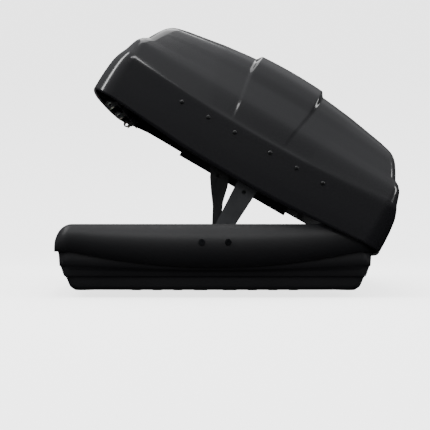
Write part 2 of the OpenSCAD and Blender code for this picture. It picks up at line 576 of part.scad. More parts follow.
// ---- Clamps: a housing on the floor rail, a rubber pad, a fixed and a moving jaw, a knob ----
screw_z = floor_top + rail_t + 22;
house_w = rail_w - 2 * rail_t - 1;
house_h = 36;
house_back = 66;
house_front = 74;
jaw_w = slot_w - 2;
jaw_t = 9;
jaw_clear = 1;
jaw_low = -bar_h - 10;
screw_r = 4;
function clamp_at(k) = [(k % 2 == 0 ? 1 : -1) * clamp_x, (k > 2 ? 1 : -1) * clamp_y, 0];
module claw(top) rotate([90, 0, 90]) translate([0, 0, -jaw_w / 2]) linear_extrude(jaw_w)
    polygon([[0, top], [0, -bar_h - 1.5], [-14, -bar_h - 1.5], [-16, -bar_h - 5],
        [-12, jaw_low], [-2, jaw_low + 2], [jaw_t - 2, -bar_h * 0.8], [jaw_t, -bar_h * 0.5], [jaw_t, top]]);
module jaw_place() translate([0, bar_w / 2 + jaw_clear, 0]) children();
module clamp_housing(k) color([0.12, 0.12, 0.13]) translate(clamp_at(k)) {
    difference() {
        translate([-house_w / 2, -house_back, floor_top + rail_t])
            cube([house_w, house_back + house_front, house_h]);
        translate([-jaw_w / 2 - 0.5, bar_w / 2, 0]) cube([jaw_w + 1, jaw_clear + jaw_t + jaw_travel + 1, screw_z + 8]);
        translate([0, bar_w / 2 - 16, screw_z]) along_y(screw_r + 0.3, 60);
    }
    mirror([0, 1, 0]) jaw_place() claw(floor_top + rail_t);
}
module clamp_jaw(k) color([0.55, 0.56, 0.58]) translate(clamp_at(k)) jaw_place() difference() {
    claw(screw_z + 7);
    translate([0, -10, screw_z]) along_y(screw_r + 0.1, 40);
}
module clamp_knob(k) color([0.18, 0.18, 0.19]) translate(clamp_at(k)) translate([0, 0, screw_z]) {
    translate([0, bar_w / 2 - 14, 0]) along_y(screw_r, house_front - bar_w / 2 + 16);
    translate([0, house_front + 1, 0]) difference() {
        along_y(19, 24);
        for (a = [0:45:359]) rotate([0, a, 0]) translate([22, -1, 0]) along_y(5, 30);
    }
}
module clamp_pad(k) color([0.06, 0.06, 0.06]) translate(clamp_at(k)) difference() {
    translate([-30, -bar_w / 2 + 3, 0]) cube([60, bar_w - 6, floor_z - 0.5]);
    for (y = [-24:12:24]) translate([-40, y - 1.5, -1]) cube([80, 3, 2.5]);
}

tray();
left_floor_rail();
right_floor_rail();
left_hinge_posts();
right_hinge_posts();
left_hinge_pins();
right_hinge_pins();
rear_lifter_bracket();
front_lifter_bracket();
rear_lifter_bolts();
front_lifter_bolts();
rear_lifter_arm();
front_lifter_arm();
rear_lifter_link();
front_lifter_link();
lid_shell();
lid_bows();
left_lid_brackets();
right_lid_brackets();
left_cradles();
right_cradles();
left_lock_bar();
right_lock_bar();
left_slide_handle();
right_slide_handle();
left_escutcheon();
right_escutcheon();
left_key_cylinder();
right_key_cylinder();
rear_lid_rail();
front_lid_rail();
lid_rivets();
clamp_housing(1);  // clamp_housing_1
clamp_housing(2);  // clamp_housing_2
clamp_housing(3);  // clamp_housing_3
clamp_housing(4);  // clamp_housing_4
clamp_jaw(1);  // clamp_jaw_1
clamp_jaw(2);  // clamp_jaw_2
clamp_jaw(3);  // clamp_jaw_3
clamp_jaw(4);  // clamp_jaw_4
clamp_knob(1);  // clamp_knob_1
clamp_knob(2);  // clamp_knob_2
clamp_knob(3);  // clamp_knob_3
clamp_knob(4);  // clamp_knob_4
clamp_pad(1);  // clamp_pad_1
clamp_pad(2);  // clamp_pad_2
clamp_pad(3);  // clamp_pad_3
clamp_pad(4);  // clamp_pad_4
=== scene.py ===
import bpy
import math
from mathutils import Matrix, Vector


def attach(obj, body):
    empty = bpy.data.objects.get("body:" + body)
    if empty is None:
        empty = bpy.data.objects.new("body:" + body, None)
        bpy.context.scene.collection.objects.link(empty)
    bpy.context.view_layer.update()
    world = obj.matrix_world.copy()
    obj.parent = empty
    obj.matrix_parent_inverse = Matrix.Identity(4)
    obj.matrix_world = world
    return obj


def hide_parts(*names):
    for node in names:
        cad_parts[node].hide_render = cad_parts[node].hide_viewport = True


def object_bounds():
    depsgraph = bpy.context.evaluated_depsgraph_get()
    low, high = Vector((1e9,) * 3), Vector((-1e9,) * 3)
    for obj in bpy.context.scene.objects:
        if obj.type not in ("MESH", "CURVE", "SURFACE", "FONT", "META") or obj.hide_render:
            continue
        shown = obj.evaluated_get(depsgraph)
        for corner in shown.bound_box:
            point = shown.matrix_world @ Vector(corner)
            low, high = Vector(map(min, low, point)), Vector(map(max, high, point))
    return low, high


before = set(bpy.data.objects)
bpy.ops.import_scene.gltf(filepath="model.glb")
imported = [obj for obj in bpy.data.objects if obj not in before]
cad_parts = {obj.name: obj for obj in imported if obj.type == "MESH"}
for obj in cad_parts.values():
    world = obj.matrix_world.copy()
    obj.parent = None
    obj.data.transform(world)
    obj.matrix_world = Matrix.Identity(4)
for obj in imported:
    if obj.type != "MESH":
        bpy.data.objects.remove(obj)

CAD_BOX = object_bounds()

# ---- Studio ----
# A plain pale floor that curves up behind the object, three soft lights and a long lens,
# level with the tray's rear wall and straight behind the box.
def to_linear(code):
    parts = [int(code[i:i + 2], 16) / 255 for i in (1, 3, 5)]
    return tuple(c / 12.92 if c <= 0.04045 else ((c + 0.055) / 1.055) ** 2.4 for c in parts) + (1,)


def add(tree, kind, settings=None, inputs=None):
    """Adds a node, sets its fields, and fills its inputs from values or from other sockets."""
    node = tree.nodes.new(kind)
    for name, value in (settings or {}).items():
        setattr(node, name, value)
    for name, value in (inputs or {}).items():
        if isinstance(value, bpy.types.NodeSocket):
            tree.links.new(value, node.inputs[name])
        else:
            node.inputs[name].default_value = value
    return node


def new_material(name):
    material = bpy.data.materials.new(name)
    material.use_nodes = True
    tree = material.node_tree
    shader = tree.nodes["Principled BSDF"]
    return material, tree, shader


def link_object(name, mesh, material=None):
    piece = bpy.data.objects.new(name, mesh)
    bpy.context.scene.collection.objects.link(piece)
    if material:
        mesh.materials.append(material)
    return piece


def mesh_from(name, points, faces, smooth=True):
    mesh = bpy.data.meshes.new(name)
    mesh.from_pydata([tuple(p) for p in points], [], faces)
    mesh.validate()
    mesh.polygons.foreach_set("use_smooth", [smooth] * len(mesh.polygons))
    mesh.update()
    return mesh


FLOOR_LOW = CAD_BOX[0][2] - 0.0005
floor_back, floor_bend, floor_top, floor_half = 14.0, 2.0, 6.0, 16.0
profile = [(-16.0, 0.0), (floor_back - floor_bend, 0.0)]
profile += [(floor_back - floor_bend + floor_bend * math.sin(a), floor_bend - floor_bend * math.cos(a))
            for a in [math.radians(9 * k) for k in range(1, 11)]]
profile.append((floor_back, floor_top))
floor_points = [(s * floor_half, y, FLOOR_LOW + z) for y, z in profile for s in (-1, 1)]
floor_faces = [(2 * k, 2 * k + 1, 2 * k + 3, 2 * k + 2) for k in range(len(profile) - 1)]
paper, tree, shader = new_material("matt_white_paper")
shader.inputs["Base Color"].default_value = to_linear("#F4F4F3")
shader.inputs["Roughness"].default_value = 0.9
shader.inputs["Emission Color"].default_value = to_linear("#FFFFFF")
shader.inputs["Emission Strength"].default_value = 2.4
backdrop = link_object("backdrop", mesh_from("backdrop", floor_points, floor_faces), paper)


def softbox(name, place, aim, size, power):
    lamp = bpy.data.lights.new(name, "AREA")
    lamp.shape = "RECTANGLE"
    lamp.size, lamp.size_y = size
    lamp.energy = power
    holder = bpy.data.objects.new(name, lamp)
    bpy.context.scene.collection.objects.link(holder)
    holder.location = place
    holder.rotation_euler = (Vector(aim) - Vector(place)).to_track_quat("-Z", "Y").to_euler()


softbox("roof_light", (0, 0.2, 3.2), (0, 0, 0.2), (1.6, 4.2), 62)
softbox("left_light", (-2.6, -1.6, 2.6), (0, -0.5, 0.3), (0.5, 2.4), 46)
softbox("right_light", (3.4, -1.2, 1.5), (0, -0.4, 0.2), (0.6, 1.6), 26)
softbox("rear_light", (-0.5, -4.6, 3.2), (0, -0.6, 0.15), (2.0, 0.5), 24)
# The sky lights the object from above only, and its reflection is dark at the horizon and pale
# overhead, as between black flags
world = bpy.data.worlds.new("studio_world")
bpy.context.scene.world = world
world.use_nodes = True
tree = world.node_tree
sky_place = add(tree, "ShaderNodeTexCoord")
sky_axes = add(tree, "ShaderNodeSeparateXYZ", None, {"Vector": sky_place.outputs["Generated"]})
height = add(tree, "ShaderNodeMapRange", None, {"Value": sky_axes.outputs["Z"], "From Min": -1.0})


def sky_ramp(stops):
    """Brightness by height: 0 is straight down, 0.5 the horizon and 1 straight up."""
    ramp = add(tree, "ShaderNodeValToRGB", None, {"Fac": height.outputs["Result"]})
    for stop, value in stops:
        ramp.color_ramp.elements.new(stop).color = (value, value, value, 1)
    ramp.color_ramp.elements.remove(ramp.color_ramp.elements[0])
    ramp.color_ramp.elements.remove(ramp.color_ramp.elements[-1])
    return ramp.outputs["Color"]


rays = add(tree, "ShaderNodeLightPath")
diffuse_sky = add(tree, "ShaderNodeMath", {"operation": "MULTIPLY"},
                  {0: sky_ramp(((0.4, 0.06), (0.5, 0.3), (0.6, 1.0))), 1: 1.5})
unseen = add(tree, "ShaderNodeMix", {"data_type": "FLOAT"},
             {0: rays.outputs["Is Glossy Ray"], 2: diffuse_sky.outputs["Value"],
              3: sky_ramp(((0.44, 0.0), (0.52, 0.08), (0.7, 0.16), (0.95, 0.75)))})
strength = add(tree, "ShaderNodeMix", {"data_type": "FLOAT"},
               {0: rays.outputs["Is Camera Ray"], 2: unseen.outputs[0], 3: 1.6})
sky = tree.nodes["Background"]
sky.inputs["Color"].default_value = to_linear("#F7F8FA")
tree.links.new(strength.outputs[0], sky.inputs["Strength"])
backdrop.visible_glossy = False
backdrop.visible_diffuse = False

lens = bpy.data.cameras.new("camera")
camera = bpy.data.objects.new("camera", lens)
bpy.context.scene.collection.objects.link(camera)
camera_away = 3.85
camera_high = 0.135
rear_plane = CAD_BOX[0][1]
lens.sensor_width = 36
view_width = 1.054
lens.lens = lens.sensor_width * camera_away / view_width
lens.shift_y = 0.03
camera.location = (0.0, rear_plane - camera_away, camera_high)
camera.rotation_euler = (math.radians(90), 0, 0)
bpy.context.scene.camera = camera

# ---- Tray ----
# The lower half of the box, thermoformed from one black ABS sheet about 4 mm thick: a flat rim that
# the lid closes over, a raised wall at each end, and a ribbed floor that steps up over the crossbars.
MM = 0.001
HINGE_Z, HINGE_X = 80.0, 392.0
BOX_L, BOX_W, REAR_W, NOSE_W, WIDEST = 1950.0, 890.0, 808.0, 620.0, -250.0
REAR_BOW, NOSE_BOW = 10.0, 25.0
REAR_Y, NOSE_Y = -BOX_L / 2 + REAR_BOW, BOX_L / 2 - NOSE_BOW
REAR_CORNER, NOSE_CORNER = 55.0, 200.0


def ease(t):
    u = min(1.0, max(0.0, t))
    return u * u * (3 - 2 * u)


def plan_w(y):
    if y < WIDEST:
        return BOX_W / 2 - (BOX_W - REAR_W) / 2 * ((WIDEST - y) / (WIDEST - REAR_Y)) ** 2
    return BOX_W / 2 - (BOX_W - NOSE_W) / 2 * ((y - WIDEST) / (NOSE_Y - WIDEST)) ** 3


def edge_lift(y):
    return 28.0 * ease((y - 300) / (NOSE_Y - 300))


def outline(side, rear, nose, arc=12, sides=150, bend=18):
    """Right half of an outline set in from the lid's lower edge, from the rear to the nose."""
    rr, rn = max(20.0, REAR_CORNER - side), max(60.0, NOSE_CORNER - side)
    ya, yb = REAR_Y + rear + rr, NOSE_Y - nose - rn
    xa, xb = plan_w(ya) - side, plan_w(yb) - side
    points = [(xa - rr + rr * math.sin(a), ya - rr * math.cos(a))
              for a in [math.pi / 2 * k / arc for k in range(arc + 1)]]
    points += [(plan_w(y) - side, y) for y in [ya + (yb - ya) * k / (sides + 1) for k in range(1, sides + 1)]]
    points += [(xb - rn + rn * math.cos(a), yb + rn * math.sin(a))
               for a in [math.pi / 2 * k / bend for k in range(bend + 1)]]
    return points


ROWS = 12 + 1 + 150 + 18 + 1


def curve_through(keys, count, sharp=()):
    """Monotone spline through the keys, which are lists of numbers; a sharp key keeps its corner."""
    spans = len(keys) - 1
    lengths = [max(1e-6, math.dist(keys[k][:4], keys[k + 1][:4])) for k in range(spans)]
    slopes = []
    for k in range(len(keys)):
        if k in (0, spans) or k in sharp:
            slopes.append(None)
            continue
        row = []
        for a, b, c in zip(keys[k - 1], keys[k], keys[k + 1]):
            left, right = (b - a) / lengths[k - 1], (c - b) / lengths[k]
            row.append(0.0 if left * right <= 0 else 2 * left * right / (left + right))
        slopes.append(row)
    out = []
    for k in range(spans):
        line = [(b - a) / lengths[k] for a, b in zip(keys[k], keys[k + 1])]
        first, last = slopes[k] or line, slopes[k + 1] or line
        steps = max(2, round(count * lengths[k] / sum(lengths)))
        for n in range(steps + (k == spans - 1)):
            t = n / steps
            # Hermite's four weights: start, start slope, end, end slope
            h = (2 * t ** 3 - 3 * t ** 2 + 1, t ** 3 - 2 * t ** 2 + t,
                 -2 * t ** 3 + 3 * t ** 2, t ** 3 - t ** 2)
            out.append([h[0] * a + h[1] * lengths[k] * m0 + h[2] * b + h[3] * lengths[k] * m1
                        for a, b, m0, m1 in zip(keys[k], keys[k + 1], first, last)])
    return out


def ring_loop(right, rear, nose):
    return right + nose[::-1] + [(-x, y, z) for x, y, z in right[::-1]] + rear


def skin(levels, ring_of, ends_of, columns, top_z):
    """Rings of points, one for each level, then a grid of rows over the last ring."""
    n = len(columns)
    points = []
    for level in levels:
        right = ring_of(level)
        points += ring_loop(right, ends_of(level, right[0], True), ends_of(level, right[-1], False))
    m = 2 * ROWS + 2 * n
    faces = [(k * m + j, (k + 1) * m + j, (k + 1) * m + (j + 1) % m, k * m + (j + 1) % m)
             for k in range(len(levels) - 1) for j in range(m)]
    top, inner = (len(levels) - 1) * m, len(levels) * m
    for i in range(1, ROWS - 1):
        points += [top_z(right[i], c) for c in range(n)]

    def at(i, c):
        if c == 0:
            return top + 2 * ROWS + n - 1 - i
        if c == n + 1:
            return top + i
        if i == 0:
            return top + 2 * ROWS + n + c - 1
        if i == ROWS - 1:
            return top + ROWS + n - c
        return inner + (i - 1) * n + c - 1

    faces += [(at(i, c), at(i + 1, c), at(i + 1, c + 1), at(i, c + 1))
              for i in range(ROWS - 1) for c in range(n + 1)]
    return points, faces, m


def shell(name, outer, inner, material, turn):
    (a, fa, m), (b, fb, _) = outer, inner
    shift = len(a)
    rim = [(j, (j + 1) % m, shift + (j + 1) % m, shift + j) for j in range(m)]
    faces = fa + [tuple(shift + v for v in reversed(f)) for f in fb] + rim
    if turn:
        faces = [tuple(reversed(f)) for f in faces]
    return link_object(name, mesh_from(name, [tuple(MM * v for v in p) for p in a + b], faces), material)


END_IN, RIM_IN, RIM_INNER = 11.0, 9.0, 22.0
WELL_Z, FLOOR_Z, SHEET = -20.0, 8.0, 4.0
STEP_Y, RISE_Y, NOSE_RISE = -660.0, 630.0, 24.0
groove_steps = [(0, 17), (16, 17), (18.5, 0)]
for middle in (67, 118, 169):
    groove_steps += [(middle - 14.5, 0), (middle - 3.5, 11), (middle + 3.5, 11), (middle + 14.5, 0)]
groove_steps += [(205, 0), (213, 4), (222, 8), (232, 10.3), (243, 11),
                 (256, 10.3), (268, 8), (284, 4), (300, 1)]


def groove(x):
    for (x0, h0), (x1, h1) in zip(groove_steps, groove_steps[1:]):
        if x0 <= x <= x1:
            return h0 + (h1 - h0) * (x - x0) / (x1 - x0)
    return 0.0


# Each edge of a groove is rounded over 1.2 mm to either side
ROUNDING = (-1.2, 0, 1.2)
rib_edges = sorted({round(s[0] + d, 2) for s in groove_steps for d in ROUNDING if 0 < s[0] + d < 301})
tray_x = [-x for x in reversed(rib_edges)] + rib_edges


def groove_soft(x):
    return sum(groove(abs(x) + d) for d in ROUNDING) / 3


# Low swellings stiffen the floor between the rails, as pressed beads do
def floor_beads(x, y):
    if abs(x) > 205 or not -560 < y < 640:
        return 0.0
    along = ease((y + 560) / 30) * ease((640 - y) / 30)
    return 3.0 * along * (0.5 - 0.5 * math.cos(2 * math.pi * x / 58.6))


def over_bars(y):
    """0 in the well behind the crossbars, 1 where the floor has stepped up over them."""
    return ease((y - STEP_Y) / 60)


def nose_rise(y):
    return ease((y - RISE_Y) / 200)


def floor_at(x, y):
    w = over_bars(y)
    high = FLOOR_Z + NOSE_RISE * nose_rise(y) + floor_beads(x, y)
    return (WELL_Z + groove_soft(x)) * (1 - w) + high * w


def wall_lift(x, h, half, flat):
    return h if x < flat else h * math.sqrt(max(0.0, 1 - ((x - flat) / max(1.0, half - flat)) ** 2))


RIM_HALF = outline(RIM_IN, END_IN, END_IN)[12][0]


def rim_top(x, y, in_rear_arc):
    if in_rear_arc:
        return HINGE_Z + wall_lift(x, 65.0, RIM_HALF, 352.0)
    return HINGE_Z + 38.0 * ease((y - 420) / (NOSE_Y - 520))


def tray_height(kind, x, y, arc, sag):
    """A level's height is a mix of the rim, the step line, the wall and the floor."""
    top, step, wall, low, base = kind
    z = top * rim_top(x, y, arc) + step * (HINGE_Z - 4 - 38 * sag + 0.6 * edge_lift(y))
    z += wall * (HINGE_Z - 39 - 12 * sag) + low * (14 + 8 * nose_rise(y))
    w = over_bars(y)
    return z + base * (WELL_Z * (1 - w) + (FLOOR_Z + NOSE_RISE * nose_rise(y)) * w)


# Side inset, rear inset, nose inset, thickness of the floor, then the shares of each height
tray_outer = [[9, 11, 11, 0, 1, 0, 0, 0, 0], [9, 11, 11, 0, 0, 1, 0, 0, 0], [18, 15.5, 16, 0, 0, 1, 0, 0, 0],
              [20.5, 17, 19, 0, 0, 0.75, 0.25, 0, 0], [22, 18, 23, 0, 0, 0, 1, 0, 0],
              [36, 30, 81, 0, 0, 0, 0, 1, 0], [50, 38, 130, 0, 0, 0, 0, 0.25, 0.75],
              [62, 45, 161, 0, 0, 0, 0, 0, 1]]
tray_inner = [[22, 15, 15, 0, 1, 0, 0, 0, 0], [26, 15.5, 27, 2, 0, 0, 1, 0, 0],
              [40, 34, 85, 3, 0, 0, 0, 1, 0], [54, 42, 134, 3.5, 0, 0, 0, 0.25, 0.75],
              [66, 49, 165, 4, 0, 0, 0, 0, 1]]


def tray_ring(level):
    points = outline(level[0], level[1], level[2])
    return [(x, y, level[3] + tray_height(level[4:9], x, y, i <= 12, 0)) for i, (x, y) in enumerate(points)]


def fitted(x, half):
    return x * min(1.0, 0.97 * half / 300)


def tray_ends(level, edge, rear):
    out = []
    for x in [fitted(c, edge[0]) for c in tray_x]:
        q = 1 - (x / edge[0]) ** 2
        z = level[3] + tray_height(level[4:9], edge[0], edge[1], rear, q if rear else 0)
        if level[8] > 0.99:
            z = level[3] + floor_at(x, edge[1])
        out.append((x, edge[1] + (-REAR_BOW if rear else NOSE_BOW) * q, z))
    return out


def tray_floor(thick):
    return lambda edge, c: (fitted(tray_x[c], edge[0]), edge[1], thick + floor_at(tray_x[c], edge[1]))


def dressed(keys, count, sharp):
    return curve_through([[float(v) for v in k] for k in keys], count, sharp)


def grain(tree, size_mm, depth):
    """Fine leather-like grain that is pressed into ABS by the textured skin of the tool."""
    place = add(tree, "ShaderNodeTexCoord")
    cells = add(tree, "ShaderNodeTexVoronoi", {"feature": "SMOOTH_F1"},
                {"Vector": place.outputs["Object"], "Scale": 1 / (size_mm * MM)})
    return add(tree, "ShaderNodeBump", None,
               {"Height": cells.outputs["Distance"], "Strength": depth, "Distance": 0.0004}), place


# Thermoformed ABS, grained side out: a dark charcoal with a soft satin sheen that is a little uneven
tray_abs, tree, shader = new_material("grained_charcoal_abs")
bump, place = grain(tree, 2.2, 0.35)
cloud = add(tree, "ShaderNodeTexNoise", None,
            {"Vector": place.outputs["Object"], "Scale": 9.0, "Detail": 6.0})
dust = add(tree, "ShaderNodeTexNoise", None,
           {"Vector": place.outputs["Object"], "Scale": 260.0, "Detail": 2.0})
tone = add(tree, "ShaderNodeMix", {"data_type": "RGBA"},
           {0: cloud.outputs["Fac"], 6: to_linear("#19191B"), 7: to_linear("#212123")})
tree.links.new(tone.outputs[2], shader.inputs["Base Color"])
rough = add(tree, "ShaderNodeMapRange", None, {"Value": dust.outputs["Fac"], "To Min": 0.36, "To Max": 0.52})
tree.links.new(rough.outputs["Result"], shader.inputs["Roughness"])
tree.links.new(bump.outputs["Normal"], shader.inputs["Normal"])
shader.inputs["IOR"].default_value = 1.53

outer_levels = dressed(tray_outer, 46, (0, 1, 2, 7))
inner_levels = dressed(tray_inner, 34, (0, 4))
tray = shell("tray_shell", skin(outer_levels, tray_ring, tray_ends, tray_x, tray_floor(0.0)),
             skin(inner_levels, tray_ring, tray_ends, tray_x, tray_floor(SHEET)), tray_abs, True)


def cut_boxes(piece, boxes):
    """Cuts boxes, given by two corners, out of a closed mesh."""
    for low, high in boxes:
        corners = [(x, y, z) for z in (low[2], high[2]) for y in (low[1], high[1]) for x in (low[0], high[0])]
        sides = [(0, 2, 3, 1), (4, 5, 7, 6), (0, 1, 5, 4), (2, 6, 7, 3), (0, 4, 6, 2), (1, 3, 7, 5)]
        tool = link_object("cutter", mesh_from("cutter", corners, sides, False))
        cut = piece.modifiers.new("cut", "BOOLEAN")
        cut.operation, cut.solver, cut.object = "DIFFERENCE", "EXACT", tool
        graph = bpy.context.evaluated_depsgraph_get()
        done = bpy.data.meshes.new_from_object(piece.evaluated_get(graph))
        piece.modifiers.clear()
        old = piece.data
        piece.data = done
        bpy.data.meshes.remove(old)
        bpy.data.objects.remove(tool)


slot_half, slot_end = 7 * MM, 130 * MM
cut_boxes(tray, [((x * MM - slot_half, y * MM - slot_end, 0.0), (x * MM + slot_half, y * MM + slot_end, 0.02))
                 for x in (-250, 250) for y in (-375, 375)])
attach(tray, "base")
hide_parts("tray")

# ---- Lid ----
# The upper half, thermoformed from ABS with a high-gloss black cap layer: a skirt that closes over the
# tray's rim, a crease around it, a ledge along each side, and a raised panel down the middle.
# From the skirt's edge to the roof: side inset, rear inset, nose inset, height above the hinges,
# share of the roof's curve along the box, and how far the end stands higher in its middle
lid_keys = [[0, 0, 0, 2, 0, -22], [0.5, 1, 4, 30, 0.3, 0], [5, 4, 45, 83, 0.7, -6],
            [14, 6, 80, 112, 1, -14], [20, 9, 95, 124, 1, -18], [32, 24, 150, 157, 1, 0],
            [42, 32, 175, 169, 1, 4], [54, 37, 190, 176, 1, 6], [69, 54, 260, 201, 1, 12],
            [83, 67, 310, 219, 1, 18], [100, 82, 360, 231, 1, 24], [135, 112, 440, 241, 1, 28]]
LID_H, ROOF_RISE, PANEL_STEP, LID_WALL = 241.0, 28.0, 12.0, 4.0
CROWN_GAIN, CROWN_Y, LID_OPEN = 0.13, -100.0, math.radians(30)


def roof_share(y):
    bump = 1 - ((y - CROWN_Y) / ((REAR_Y if y < CROWN_Y else NOSE_Y) - CROWN_Y)) ** 2
    return CROWN_GAIN * bump - 0.3 * (max(0.0, y - 100) / (NOSE_Y - 100)) ** 2


def lid_height(level, y):
    h = level[3]
    return HINGE_Z + h * (1 + level[4] * roof_share(y)) + edge_lift(y) * max(0.0, 1 - h / LID_H)


def opened(x, y, z):
    """Where a point of the closed lid stands when the lid is open on its right-hand hinges."""
    dx, dz = x - HINGE_X, z - HINGE_Z
    c, s = math.cos(LID_OPEN), math.sin(LID_OPEN)
    return (HINGE_X + dx * c + dz * s, y, HINGE_Z - dx * s + dz * c)


# Columns over the roof, close together where the raised panel's edge turns
half_columns = (0, 20, 40, 60, 72, 80, 84, 87, 89, 91, 93, 95, 97, 99, 102, 108, 118, 132, 150, 170, 190)
lid_x = sorted({s * x for s in (-1, 1) for x in half_columns})


def lid_col(x, half):
    return x if half > 215 else x * half / 215


def panel(x):
    return 1 - ease((abs(x) - 86) / 12)


def lid_ring(t):
    def ring(level):
        drop = t * (level[3] / LID_H) ** 2
        line = outline(level[0] + t, level[1] + t, level[2] + t)
        return [(x, y, lid_height(level, y) - drop) for x, y in line]
    return ring


def lid_ends(level, edge, rear):
    out = []
    h = level[3]
    # The panel narrows down the rear face, from the roof to the crease
    narrow = 1.0 if not rear else 0.78 + 0.22 * ease((h - 110) / 120)
    raised = min(1.0, max(0.0, (h - 118) / 122))
    for c in lid_x:
        x = lid_col(c, edge[0]) * narrow
        q = 1 - (x / edge[0]) ** 2
        p = panel(c) * raised
        bow = (-REAR_BOW if rear else NOSE_BOW) * q - (3.5 * p if rear else 0)
        z = edge[2] + (level[5] if rear else max(0.0, level[5]) / 2) * q
        out.append((x, edge[1] + bow, z + (PANEL_STEP * p * (h - 200) / (LID_H - 200) if h > 200 else 0)))
    return out


def lid_roof(edge, c):
    x = lid_col(lid_x[c], edge[0])
    return (x, edge[1], edge[2] + ROOF_RISE * (1 - (x / edge[0]) ** 2) + PANEL_STEP * panel(lid_x[c]))


# Vacuum-formed ABS under a clear acrylic cap: piano black, a mirror gloss with a trace of orange peel
lid_abs, tree, shader = new_material("gloss_black_capped_abs")
place = add(tree, "ShaderNodeTexCoord")
peel = add(tree, "ShaderNodeTexNoise", None,
           {"Vector": place.outputs["Object"], "Scale": 42.0, "Detail": 2.0})
swirl = add(tree, "ShaderNodeTexNoise", None,
            {"Vector": place.outputs["Object"], "Scale": 5.0, "Detail": 8.0})
bump = add(tree, "ShaderNodeBump", None,
           {"Height": peel.outputs["Fac"], "Strength": 0.02, "Distance": 0.001})
rough = add(tree, "ShaderNodeMapRange", None,
            {"Value": swirl.outputs["Fac"], "To Min": 0.13, "To Max": 0.24})
tree.links.new(rough.outputs["Result"], shader.inputs["Roughness"])
tree.links.new(bump.outputs["Normal"], shader.inputs["Normal"])
shader.inputs["Base Color"].default_value = to_linear("#1B1B1D")
shader.inputs["IOR"].default_value = 1.5
shader.inputs["Coat Weight"].default_value = 0.6
shader.inputs["Coat Roughness"].default_value = 0.04

lid_levels = dressed(lid_keys, 90, (0, 4, 6, 7, 11))
lid_outer = skin(lid_levels, lid_ring(0.0), lid_ends, lid_x, lid_roof)
lid_inner = skin(lid_levels, lid_ring(LID_WALL), lid_ends, lid_x, lid_roof)
lid = shell("lid_shell_skin", lid_outer, lid_inner, lid_abs, False)
# A pocket for each slide handle goes through the side wall
HANDLE_Y, HANDLE_H, FRAME_L = 130.0, 75.0, 178.0
WALL_X = plan_w(HANDLE_Y) - 4.5
pocket = ((WALL_X - 30) * MM, (HANDLE_Y - FRAME_L / 2 + 8) * MM, (HINGE_Z + HANDLE_H - 16) * MM)
pocket_end = ((WALL_X + 30) * MM, (HANDLE_Y + FRAME_L / 2 - 8) * MM, (HINGE_Z + HANDLE_H + 16) * MM)
cut_boxes(lid, [(pocket, pocket_end), ((-pocket_end[0], *pocket[1:]), (-pocket[0], *pocket_end[1:]))])
for corner in lid.data.vertices:
    corner.co = [MM * v for v in opened(*(corner.co / MM))]
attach(lid, "lid")
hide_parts("lid_shell")

# ---- Lid rivets ----
# Six domed steel rivets with a black coat, set through the rear skirt to hold the rail inside it;
# only their heads show.


def domed_head(name, radius, height, rings=6, sides=24):
    """A low dome with a small flange, standing on z = 0, for a point to carry."""
    shape = [(radius, 0.0), (radius, 0.18 * height), (0.86 * radius, 0.3 * height)]
    shape += [(0.86 * radius * math.cos(a), height * (0.3 + 0.7 * math.sin(a)))
              for a in [math.pi / 2 * k / rings for k in range(1, rings)]]
    points = [(MM * r * math.cos(t), MM * r * math.sin(t), MM * z) for r, z in shape
              for t in [2 * math.pi * k / sides for k in range(sides)]]
    points += [(0, 0, MM * height), (0, 0, 0)]
    top, low = len(points) - 2, len(points) - 1
    last = (len(shape) - 1) * sides
    faces = [(k + j, k + (j + 1) % sides, k + sides + (j + 1) % sides, k + sides + j)
             for k in range(0, last, sides) for j in range(sides)]
    faces += [(last + j, last + (j + 1) % sides, top) for j in range(sides)]
    faces += [(low, (j + 1) % sides, j) for j in range(sides)]
    return mesh_from(name, points, faces)


FULL_TURN = 6.28


def scatter_group():
    """Geometry Nodes: a copy of a piece at each point, turned to the point's aim, with a random spin."""
    group = bpy.data.node_groups.new("fastener_row", "GeometryNodeTree")
    for name, kind in (("Geometry", "Geometry"), ("Head", "Object"), ("Finish", "Material"), ("Seed", "Int")):
        group.interface.new_socket(name, in_out="INPUT", socket_type="NodeSocket" + kind)
    group.interface.new_socket("Geometry", in_out="OUTPUT", socket_type="NodeSocketGeometry")
    start, end = group.nodes.new("NodeGroupInput"), group.nodes.new("NodeGroupOutput")
    head = add(group, "GeometryNodeObjectInfo", None, {"Object": start.outputs["Head"]})
    aim = add(group, "GeometryNodeInputNamedAttribute", {"data_type": "FLOAT_VECTOR"}, {"Name": "aim"})
    turn = add(group, "FunctionNodeAlignRotationToVector", {"axis": "Z"},
               {"Vector": aim.outputs["Attribute"]})
    # Inputs 2 and 3 are the least and the greatest number
    spin = add(group, "FunctionNodeRandomValue", {"data_type": "FLOAT"},
               {"Seed": start.outputs["Seed"], 3: FULL_TURN})
    about = add(group, "ShaderNodeCombineXYZ", None, {"Z": spin.outputs[1]})
    to_turn = add(group, "FunctionNodeEulerToRotation", None, {"Euler": about.outputs["Vector"]})
    turned = add(group, "FunctionNodeRotateRotation", {"rotation_space": "LOCAL"},
                 {"Rotation": turn.outputs["Rotation"], "Rotate By": to_turn.outputs["Rotation"]})
    copies = add(group, "GeometryNodeInstanceOnPoints", None,
                 {"Points": start.outputs["Geometry"], "Instance": head.outputs["Geometry"],
                  "Rotation": turned.outputs["Rotation"]})
    real = add(group, "GeometryNodeRealizeInstances", None, {"Geometry": copies.outputs["Instances"]})
    coat = add(group, "GeometryNodeSetMaterial", None,
               {"Geometry": real.outputs["Geometry"], "Material": start.outputs["Finish"]})
    group.links.new(coat.outputs["Geometry"], end.inputs["Geometry"])
    return group


FASTENERS = scatter_group()


